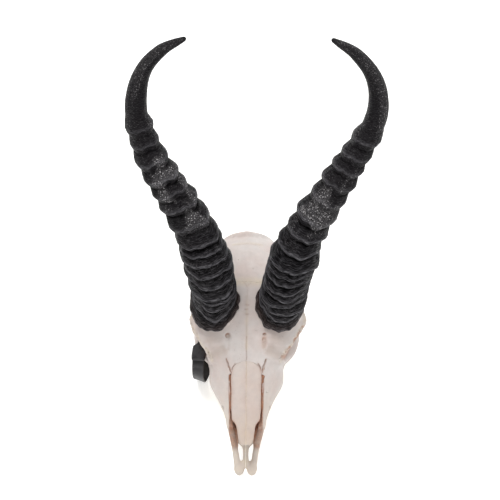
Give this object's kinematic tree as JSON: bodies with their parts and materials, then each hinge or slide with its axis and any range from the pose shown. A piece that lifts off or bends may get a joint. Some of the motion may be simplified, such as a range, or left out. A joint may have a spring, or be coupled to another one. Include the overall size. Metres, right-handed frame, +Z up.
{
  "type": "springbok skull",
  "caption": "Cleaned antelope cranium without lower jaw, with ringed lyre-shaped horns and a small plastic band looped through one orbit.",
  "frame": {"origin": "on the floor, under the middle of the bounding box", "axes": "+Z up, along the longest extent, from the floor to the horn tips; -Y towards the muzzle; +X towards the skull's own left side"},
  "size_m": [0.1948, 0.2488, 0.3025],
  "materials": {
    "bone": "matt, dry cleaned bone and tooth enamel",
    "horn": "satin black horn sheath with a little dust",
    "tag": "satin black plastic"
  },
  "bodies": {
    "root": {"braincase": "bone", "frontal": "bone", "maxilla_left": "bone", "maxilla_right": "bone", "nasal_left": "bone", "nasal_right": "bone", "premaxilla_left": "bone", "premaxilla_right": "bone", "zygomatic_left": "bone", "zygomatic_right": "bone", "horn_left": "horn", "horn_right": "horn", "tag_band": "tag", "tag_lock": "tag"}
  },
  "joints": []
}
